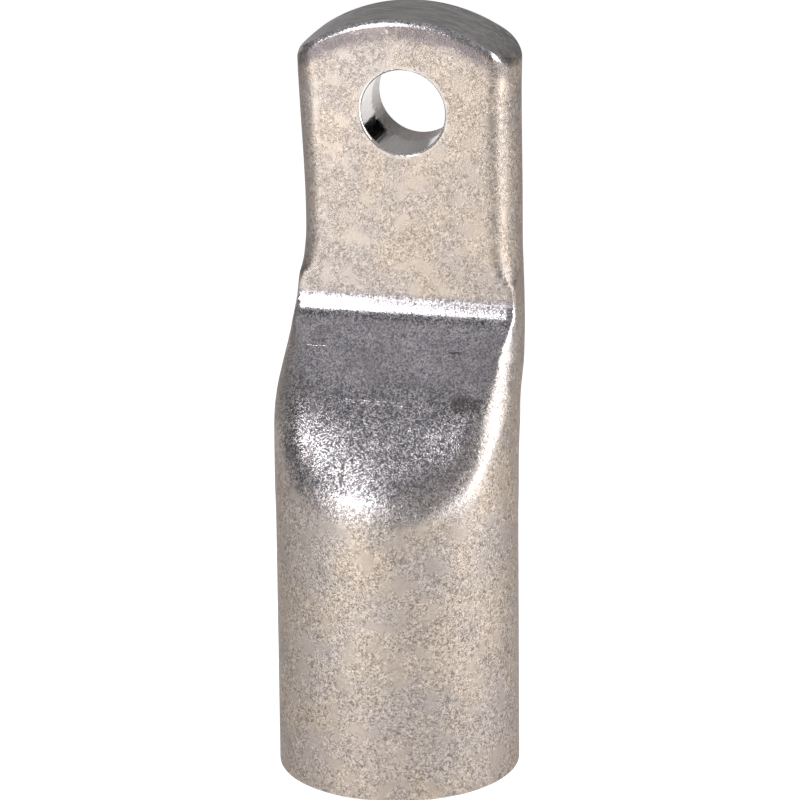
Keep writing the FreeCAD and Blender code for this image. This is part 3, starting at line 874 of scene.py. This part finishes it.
class Paint:
    """A material being mixed."""

    def __init__(self, name: str, book: PatternBook) -> None:
        """Args: name: the material's name. book: the shared patterns."""
        self.book = book
        self.material = bpy.data.materials.new(name)
        self.material.use_nodes = True
        self.tree = self.material.node_tree
        self.shader = self.tree.nodes["Principled BSDF"]
        self.shader.inputs["Metallic"].default_value = 1.0
        place = self.tree.nodes.new("ShaderNodeTexCoord").outputs["Object"]
        self.where = vector(self.tree, "MULTIPLY", place, (1 / MM, 1 / MM, 1 / MM))

    def attribute(self, name: str) -> Term:
        """Reads a mark that the press left on the mesh."""
        node = self.tree.nodes.new("ShaderNodeAttribute")
        node.attribute_name = name
        return Term(self.tree, node.outputs["Fac"])

    def heights(self) -> tuple[Term, Term, Term]:
        """The point's place in millimetres, as three terms."""
        split = self.tree.nodes.new("ShaderNodeSeparateXYZ")
        self.tree.links.new(self.where, split.inputs[0])
        x, y, z = (Term(self.tree, split.outputs[index]) for index in range(3))
        return x, y, z

    def pattern(self, pattern: Pattern, values: dict[str, "float | Tone"]) -> dict[str, Term]:
        """Puts a shared pattern in.

        Args:
            pattern: which one.
            values: the group's inputs that aren't left as they are.

        Returns:
            Its outputs by name.
        """
        node = self.tree.nodes.new("ShaderNodeGroup")
        node.node_tree = self.book.get(pattern)
        self.tree.links.new(self.where, node.inputs["Vector"])
        for title, value in values.items():
            node.inputs[title].default_value = value
        return {title: Term(self.tree, socket) for title, socket in node.outputs.items()}

    def blend(self, share: Term, low: "Tone | bpy.types.NodeSocket",
              high: "Tone | bpy.types.NodeSocket") -> bpy.types.NodeSocket:
        """Goes from one colour to another.

        Args:
            share: how much of the second one there is.
            low: colour at 0.
            high: colour at 1.

        Returns:
            The colour.
        """
        node = self.tree.nodes.new("ShaderNodeMix")
        node.data_type = "RGBA"
        self.tree.links.new(share.socket, node.inputs[0])
        for slot, colour in ((node.inputs[6], low), (node.inputs[7], high)):
            if isinstance(colour, bpy.types.NodeSocket):
                self.tree.links.new(colour, slot)
            else:
                slot.default_value = (*colour, 1.0)
        return node.outputs[2]

    def shade(self, colour: bpy.types.NodeSocket, amount: Term) -> bpy.types.NodeSocket:
        """Makes a colour lighter or darker by a factor."""
        node = self.tree.nodes.new("ShaderNodeVectorMath")
        node.operation = "SCALE"
        self.tree.links.new(colour, node.inputs[0])
        self.tree.links.new(amount.socket, node.inputs["Scale"])
        return node.outputs[0]

    def finish(self, colour: bpy.types.NodeSocket, roughness: Term, height: Term) -> bpy.types.Material:
        """Joins the mix to the shader.

        Args:
            colour: the metal's colour.
            roughness: its roughness.
            height: its fine relief in millimetres.

        Returns:
            The material.
        """
        bump = self.tree.nodes.new("ShaderNodeBump")
        bump.inputs["Strength"].default_value = 1.0
        bump.inputs["Distance"].default_value = MM
        self.tree.links.new(height.socket, bump.inputs["Height"])
        self.tree.links.new(colour, self.shader.inputs["Base Color"])
        self.tree.links.new(roughness.socket, self.shader.inputs["Roughness"])
        self.tree.links.new(bump.outputs["Normal"], self.shader.inputs["Normal"])
        return self.material


@dataclass(frozen=True)
class Nick:
    """One scratch or dark patch seen on the real lug, in millimetres; some entries stand for painted highlight
    and painted shade, as noted in the list.
    """

    place: Tone
    along: Tone
    length: float
    width: float
    depth: float
    dark: float
    lip: float = 0.0
    seen_from: Tone = (0.2230, -0.9189, 0.3254)

    def values(self) -> dict[str, "float | Tone"]:
        """The nick group's inputs."""
        along = Vector(self.along).normalized()
        side = Vector(self.seen_from).cross(along).normalized()
        return {"Place": self.place, "Along": tuple(along), "Side": tuple(side),
                "Length": self.length, "Width": self.width}


NICKS = (
    Nick((6.02, 0.49, 42.91), (1.0, -0.03, -0.03), 2.2, 0.14, 0.006, 0.95, 0.1),
    Nick((-7.98, 0.31, 42.74), (1.0, 0.0, 0.0), 2.6, 0.08, 0.02, 0.45, 0.3),
    # A pale line along the slope's break, with no groove or darkening: a painted highlight.
    Nick((-1.2, -3.85, 38.72), (1.0, -0.05, 0.0), 9.0, 0.10, 0.0, 0.0, 0.8),
    Nick((-3.3, -8.86, 33.2), (0.02, -0.61, -0.79), 3.5, 0.17, 0.02, 0.85, 0.0),
    Nick((5.75, -10.19, 30.70), (0.57, -0.06, -0.82), 1.4, 0.15, 0.02, 0.9, 0.2),
    Nick((-6.89, -5.93, 36.71), (-0.24, -0.66, -0.72), 2.2, 0.10, 0.02, 0.4, 0.6),
    Nick((0.49, 3.85, 56.12), (0.41, 0.0, -0.91), 2.2, 0.09, 0.015, 0.5, 0.4),
    Nick((-6.57, 3.85, 59.61), (0.83, 0.0, -0.55), 1.2, 0.08, 0.015, 0.4, 0.5),
    Nick((-4.19, -11.22, 13.10), (0.86, -0.32, 0.40), 2.1, 0.10, 0.02, 0.55, 0.6),
    Nick((3.98, -11.32, 20.78), (0.88, 0.31, -0.35), 0.8, 0.14, 0.02, 0.75, 0.3),
    Nick((5.49, -10.65, 16.49), (0.78, 0.40, 0.49), 1.6, 0.10, 0.02, 0.5, 0.5),
    Nick((6.52, -10.06, 11.51), (0.84, 0.54, -0.03), 1.2, 0.10, 0.02, 0.5, 0.5),
    Nick((-4.17, -11.25, 6.37), (0.69, -0.26, 0.68), 1.1, 0.10, 0.02, 0.5, 0.5),
    # Broad dark patches on the slope's rounded sides, with no groove: painted shade.
    Nick((7.83, -3.56, 39.02), (1.0, 0.0, 0.0), 3.6, 0.95, 0.0, 0.9),
    Nick((-6.75, -8.27, 33.85), (0.04, -0.58, -0.81), 4.2, 0.45, 0.0, 0.55),
    Nick((-8.94, -2.46, 40.06), (0.06, -0.71, -0.70), 3.6, 0.40, 0.0, 0.5),
)


@dataclass(frozen=True)
class TinPlate:
    """Matt tin plating, rubbed dark and shiny where the press slid over it, with painted shade beside the
    crease, round the toe, on the lower slope and palm and below the cut end, and painted highlights on the
    slope's rounded sides, the lip at the cut end and the nicks' raised sides.
    """

    name: str = "tin_plate"
    warm: Tone = (0.335, 0.285, 0.240)
    cool: Tone = (0.302, 0.265, 0.243)
    edge_tint: Tone = (0.55, 0.53, 0.52)
    tarnish_and_shade: Tone = (0.13, 0.11, 0.10)
    rubbed_and_sheen: Tone = (0.70, 0.66, 0.66)
    rubbed_dim: Tone = (0.24, 0.23, 0.25)
    speck_dark_and_shade: Tone = (0.09, 0.09, 0.105)
    lip_shade: Tone = (0.13, 0.112, 0.117)
    roughness: float = 0.45
    rubbed_roughness: float = 0.19
    grain_scale: float = 3.2
    grain_depth: float = 0.02
    sparkle_scale: float = 4.8
    sparkle_depth: float = 0.012
    nicks: tuple[Nick, ...] = NICKS

    def build(self, book: PatternBook) -> bpy.types.Material:
        """Mixes the material.

        Args:
            book: the shared patterns.

        Returns:
            The plating.
        """
        paint = Paint(self.name, book)
        plate = paint.pattern(Pattern.GRAIN, {"Grain Scale": self.grain_scale})
        spark = paint.pattern(Pattern.GRAIN, {"Grain Scale": self.sparkle_scale, "Spot Scale": 0.9})
        rubbed_and_sheen = paint.attribute("rubbed_and_sheen")
        crease_shade, rim, lip_shade = (paint.attribute(name) for name in ("crease_shade", "rim", "lip_shade"))
        ridge = paint.attribute("ridge")
        matt = 1.0 - rubbed_and_sheen

        tin = paint.blend(plate["Cloud"], self.warm, self.cool)
        coarse = (plate["Grain"] - 0.5) * (1.0 - plate["Spot"] * 0.8) + 0.5
        height = paint.heights()[2]
        palm = height.ramp(44.0, 50.0)
        # The palm's colour is made about 8% darker, a painted shade, and its grain weaker.
        tin = paint.shade(tin, coarse * (1.05 - palm * 0.25) + plate["Hue"] * 0.08 + 0.47 + palm * 0.045)
        glint = spark["Grain"] * (1.0 - spark["Spot"] * 0.1)
        # Painted shade: the slope's speckle grows darker, with fewer bright specks, towards the toe.
        toe = height.ramp(41.5, 38.0)
        dim = paint.blend(toe * 0.75, self.rubbed_dim, self.speck_dark_and_shade)
        wear_and_toe_shade = paint.blend(glint.ramp(toe * 0.15 + 0.1, 0.87), dim, self.rubbed_and_sheen)
        wear_and_toe_shade = paint.shade(wear_and_toe_shade, spark["Cloud"] * 0.16 + spark["Hue"] * 0.12 + 0.84)
        # Painted highlight: the slope's rounded sides take a lighter colour and fewer dark specks.
        ridge_sheen_tone = paint.blend(ridge * spark["Grain"].ramp(0.2, 0.8) * 0.7, tin, self.rubbed_and_sheen)
        tone = paint.blend(rubbed_and_sheen * (1.0 - ridge * 0.75), ridge_sheen_tone, wear_and_toe_shade)

        # Painted shade: dark speckled lines beside the crease and along the toe's rounding.
        speckle = spark["Grain"].ramp(0.75, 0.3)
        tone = paint.blend(crease_shade.at_least(rim * 0.75) * speckle * 0.9, tone, self.speck_dark_and_shade)
        # Painted shade: a dark band on the palm's face below the lip at the cut end.
        edge = lip_shade * (spark["Grain"] * 0.5 + plate["Hue"] * 0.5).ramp(0.95, 0.45)
        tone = paint.blend(edge * 0.9, tone, self.lip_shade)

        hair = paint.pattern(Pattern.SCRATCH, {"Spacing": 3.4, "Length": 2.6, "Width": 0.045})
        fleck = paint.pattern(Pattern.SCRATCH, {"Spacing": 1.9, "Length": 0.8, "Width": 0.09})
        scratch = hair["Line"] * hair["Depth"] * 0.35 + fleck["Line"] * fleck["Depth"].ramp(0.5, 1.0) * 0.5
        # Scratches and nicks darken the colour; the broad nicks without a groove are painted shade.
        groove, lip, stain_and_shade = self.gather(paint)
        mark = (scratch * 0.6 + stain_and_shade).at_most(1.0)
        tone = paint.blend(mark, tone, self.tarnish_and_shade)
        # The nicks' raised sides are painted up to 22% lighter, a painted highlight; their bump is in the
        # relief below.
        tone = paint.shade(tone, lip * 0.22 + 1.0)

        rough = plate["Grain"] * 0.08 + (self.roughness - 0.03) - plate["Spot"] * 0.05
        slid = spark["Hue"] * 0.08 + (self.rubbed_roughness - 0.04)
        rough = mix(rubbed_and_sheen, rough - ridge * 0.07, slid) + groove * 0.1
        low = (toe * 0.5 + 0.45) * (height.ramp(32.0, 35.0) * 0.7 + 0.3)
        relief = coarse * self.grain_depth * matt + spark["Grain"] * self.sparkle_depth * rubbed_and_sheen * low
        relief = relief - groove + lip * 0.012 - scratch * 0.006
        paint.shader.inputs["Specular Tint"].default_value = (*self.edge_tint, 1.0)
        return paint.finish(tone, rough, relief)

    def gather(self, paint: Paint) -> tuple[Term, Term, Term]:
        """Adds the nicks up.

        Args:
            paint: the material being mixed.

        Returns:
            Depth of the grooves in millimetres, their raised sides and how much they darken the colour, as
            marks and, for the broad patches without a groove, as painted shade.
        """
        depth = lip = stain_and_shade = None
        for nick in self.nicks:
            seen = paint.pattern(Pattern.NICK, nick.values())
            deep, raised, dark = seen["Groove"] * nick.depth, seen["Lip"] * nick.lip, seen["Groove"] * nick.dark
            depth = deep if depth is None else depth + deep
            lip = raised if lip is None else lip + raised
            stain_and_shade = dark if stain_and_shade is None else stain_and_shade + dark
        return depth, lip, stain_and_shade


@dataclass(frozen=True)
class CutFace:
    """Bare sheared metal, dragged into streaks along the palm's end."""

    name: str = "cut_metal"
    light: Tone = (0.62, 0.58, 0.56)
    dark: Tone = (0.29, 0.275, 0.27)
    roughness: float = 0.36
    drawn: Tone = (0.28, 2.6, 2.0)
    depth: float = 0.02

    def build(self, book: PatternBook) -> bpy.types.Material:
        """Mixes the material from the shared patterns."""
        paint = Paint(self.name, book)
        drag = paint.pattern(Pattern.STREAK, {"Drawn": self.drawn})
        grain = paint.pattern(Pattern.GRAIN, {"Grain Scale": 4.0, "Spot Scale": 0.8})
        share = (drag["Streak"] * 0.7 + drag["Fine"] * 0.3) * (0.8 + grain["Hue"] * 0.2)
        tone = paint.blend(share, self.dark, self.light)
        tone = paint.shade(tone, grain["Grain"] * 0.16 + 0.9)
        rough = drag["Fine"] * 0.14 + self.roughness
        relief = drag["Streak"] * self.depth + drag["Fine"] * self.depth * 0.3 + grain["Grain"] * 0.003
        return paint.finish(tone, rough, relief)


@dataclass(frozen=True)
class PunchedWall:
    """The stud hole's wall: burnished by the punch in front, torn towards the back."""

    name: str = "punched_wall"
    light: Tone = (0.72, 0.69, 0.66)
    dark: Tone = (0.42, 0.37, 0.33)
    roughness: float = 0.1
    torn_roughness: float = 0.3
    drawn: Tone = (2.6, 0.18, 2.6)
    torn_from: float = 8.2
    torn_to: float = 9.4

    def build(self, book: PatternBook) -> bpy.types.Material:
        """Mixes the material from the shared patterns."""
        paint = Paint(self.name, book)
        drag = paint.pattern(Pattern.STREAK, {"Drawn": self.drawn})
        grain = paint.pattern(Pattern.GRAIN, {"Grain Scale": 3.5, "Spot Scale": 0.8})
        behind = (paint.heights()[1] + drag["Streak"] * 0.8).ramp(self.torn_from, self.torn_to)
        share = drag["Fine"] * 0.35 * (1.0 - behind) + behind * (0.35 + grain["Grain"] * 0.5)
        tone = paint.blend(share, self.light, self.dark)
        rough = mix(behind, drag["Fine"] * 0.08 + self.roughness, grain["Grain"] * 0.1 + self.torn_roughness)
        relief = drag["Streak"] * 0.008 + drag["Fine"] * 0.002 + behind * grain["Grain"] * 0.03
        return paint.finish(tone, rough, relief)


@dataclass(frozen=True)
class TubeInside:
    """The plating inside the barrel, duller than outside and lightly streaked by the drawing."""

    name: str = "tube_inside"
    warm: Tone = (0.42, 0.37, 0.33)
    cool: Tone = (0.37, 0.345, 0.33)
    roughness: float = 0.48
    drawn: Tone = (2.2, 2.2, 0.12)

    def build(self, book: PatternBook) -> bpy.types.Material:
        """Mixes the material from the shared patterns."""
        paint = Paint(self.name, book)
        plate = paint.pattern(Pattern.GRAIN, {"Grain Scale": 2.4, "Spot Scale": 0.5})
        drag = paint.pattern(Pattern.STREAK, {"Drawn": self.drawn})
        tone = paint.blend(plate["Cloud"], self.warm, self.cool)
        tone = paint.shade(tone, plate["Grain"] * 0.1 + drag["Streak"] * 0.08 + 0.88)
        rough = plate["Grain"] * 0.1 + self.roughness
        relief = plate["Grain"] * 0.006 + drag["Streak"] * 0.008
        return paint.finish(tone, rough, relief)


@dataclass
class PhotoView:
    """The place that the photograph was taken from."""

    elevation: float = 18.99
    azimuth: float = 13.64
    roll: float = -0.60
    distance: float = 602.63
    lift: float = 35.724
    side: float = 0.012
    lens: float = 270.0
    sensor: float = 36.0

    def build(self) -> bpy.types.Object:
        """Makes the camera and sets it as the scene's own."""
        tilt, turn, roll = (math.radians(a) for a in (self.elevation, self.azimuth, self.roll))
        back = Vector((math.sin(turn) * math.cos(tilt), -math.cos(turn) * math.cos(tilt), math.sin(tilt)))
        level = Vector((math.cos(turn), math.sin(turn), 0.0))
        upright = back.cross(level)
        right = math.cos(roll) * level + math.sin(roll) * upright
        up = math.cos(roll) * upright - math.sin(roll) * level
        place = (right * self.side + up * self.lift + back * self.distance) * MM
        data = bpy.data.cameras.new("photo_view")
        data.lens = self.lens
        data.sensor_width = self.sensor
        data.clip_start, data.clip_end = 0.01, 50.0
        camera = bpy.data.objects.new("photo_view", data)
        axes = Matrix((right, up, back)).transposed().to_4x4()
        camera.matrix_world = Matrix.Translation(place) @ axes
        bpy.context.scene.collection.objects.link(camera)
        bpy.context.scene.camera = camera
        return camera


@dataclass(frozen=True)
class SoftBox:
    """A soft lamp that stands round the lug, aimed at it."""

    name: str
    azimuth: float
    low: float
    high: float
    distance: float
    width: float
    radiance: float

    def build(self, aim: Vector) -> bpy.types.Object:
        """Makes the lamp.

        Args:
            aim: the place that it faces.

        Returns:
            The lamp's object.
        """
        middle = math.radians((self.low + self.high) / 2)
        half = math.radians((self.high - self.low) / 2)
        turn = math.radians(self.azimuth)
        away = Vector((math.sin(turn) * math.cos(middle), -math.cos(turn) * math.cos(middle), math.sin(middle)))
        data = bpy.data.lights.new(self.name, "AREA")
        data.shape = "RECTANGLE"
        data.size = self.width
        data.size_y = 2 * self.distance * math.tan(half)
        data.energy = self.radiance * math.pi * data.size * data.size_y
        lamp = bpy.data.objects.new(self.name, data)
        lamp.location = aim + away * self.distance
        lamp.rotation_mode = "QUATERNION"
        lamp.rotation_quaternion = away.to_track_quat("Z", "Y")
        lamp.visible_camera = False
        bpy.context.scene.collection.objects.link(lamp)
        return lamp


@dataclass
class Studio:
    """A plain pale floor, two soft lamps close to the lug and a dim room."""

    floor_half: float = 2.0
    floor_tone: Tone = (0.88, 0.88, 0.88)
    floor_lift: float = 0.62
    horizon: Tone = (0.28, 0.28, 0.28)
    overhead: Tone = (0.46, 0.46, 0.48)
    dark_side: Tone = (0.40, 0.91, 0.08)
    boxes: tuple[SoftBox, ...] = (
        SoftBox("left_front_box", -25.5, -11.0, 47.0, 0.15, 0.036, 10.8),
        SoftBox("right_box", 83.0, -11.0, 45.0, 0.15, 0.060, 7.2),
    )

    def build(self, aim: Vector) -> None:
        """Makes the floor, the lamps and the room.

        Args:
            aim: the middle of the lug.
        """
        self.floor()
        for box in self.boxes:
            box.build(aim)
        bpy.context.scene.world = self.room()

    def floor(self) -> bpy.types.Object:
        """Makes the floor, which looks white where nothing shades it.

        Returns:
            The floor. Seen by the camera or in the metal it is lifted to white; it lights the lug
            only with what it is lit by.
        """
        half = self.floor_half
        mesh = bpy.data.meshes.new("floor")
        mesh.from_pydata([(-half, -half, 0), (half, -half, 0), (half, half, 0), (-half, half, 0)], [],
                         [(0, 1, 2, 3)])
        floor = bpy.data.objects.new("floor", mesh)
        bpy.context.scene.collection.objects.link(floor)
        paint = bpy.data.materials.new("pale_floor")
        paint.use_nodes = True
        tree = paint.node_tree
        shader = tree.nodes["Principled BSDF"]
        shader.inputs["Base Color"].default_value = (*self.floor_tone, 1.0)
        shader.inputs["Roughness"].default_value = 0.9
        shader.inputs["Specular IOR Level"].default_value = 0.0
        shader.inputs["Emission Color"].default_value = (1.0, 1.0, 1.0, 1.0)
        path = tree.nodes.new("ShaderNodeLightPath")
        seen = Term(tree, path.outputs["Is Camera Ray"]).at_least(Term(tree, path.outputs["Is Glossy Ray"]))
        seen = seen.at_least(Term(tree, path.outputs["Is Transmission Ray"]))
        tree.links.new((seen * self.floor_lift).socket, shader.inputs["Emission Strength"])
        mesh.materials.append(paint)
        return floor

    def room(self) -> bpy.types.World:
        """Makes the room, as a world that is black on the side away from the lamps."""
        world = bpy.data.worlds.new("room")
        world.use_nodes = True
        tree = world.node_tree
        split = tree.nodes.new("ShaderNodeSeparateXYZ")
        way = tree.nodes.new("ShaderNodeTexCoord").outputs["Generated"]
        tree.links.new(way, split.inputs[0])
        aside = Term(tree, vector(tree, "DOT_PRODUCT", way, self.dark_side))
        blend = tree.nodes.new("ShaderNodeMix")
        blend.data_type = "RGBA"
        tree.links.new(Term(tree, split.outputs["Z"]).ramp(0.0, 0.8).socket, blend.inputs[0])
        blend.inputs[6].default_value = (*self.horizon, 1.0)
        blend.inputs[7].default_value = (*self.overhead, 1.0)
        tree.links.new(blend.outputs[2], tree.nodes["Background"].inputs["Color"])
        tree.links.new(aside.ramp(0.97, 0.92).socket, tree.nodes["Background"].inputs["Strength"])
        return world


def main() -> None:
    """Mixes the finishes, presses the lug and sets its studio up."""
    logging.basicConfig(level=logging.INFO, format="%(name)s: %(message)s")
    bpy.context.scene.view_settings.view_transform = "Standard"
    book = PatternBook()
    finishes = {
        Finish.PLATE: TinPlate().build(book),
        Finish.CUT: CutFace().build(book),
        Finish.HOLE: PunchedWall().build(book),
        Finish.BORE: TubeInside().build(book),
    }
    log.info("finishes: %s", ", ".join(material.name for material in finishes.values()))
    piece = Lug(finishes).build()
    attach(piece, "root")
    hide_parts(NODE)
    log.info("%s: %d faces", piece.name, len(piece.data.polygons))
    PhotoView().build()
    Studio().build(Vector((0.0, 0.0, 37.0 * MM)))
    log.info("studio: floor, %d lamps and the room", len(Studio().boxes))


if __name__ == "__main__":
    main()
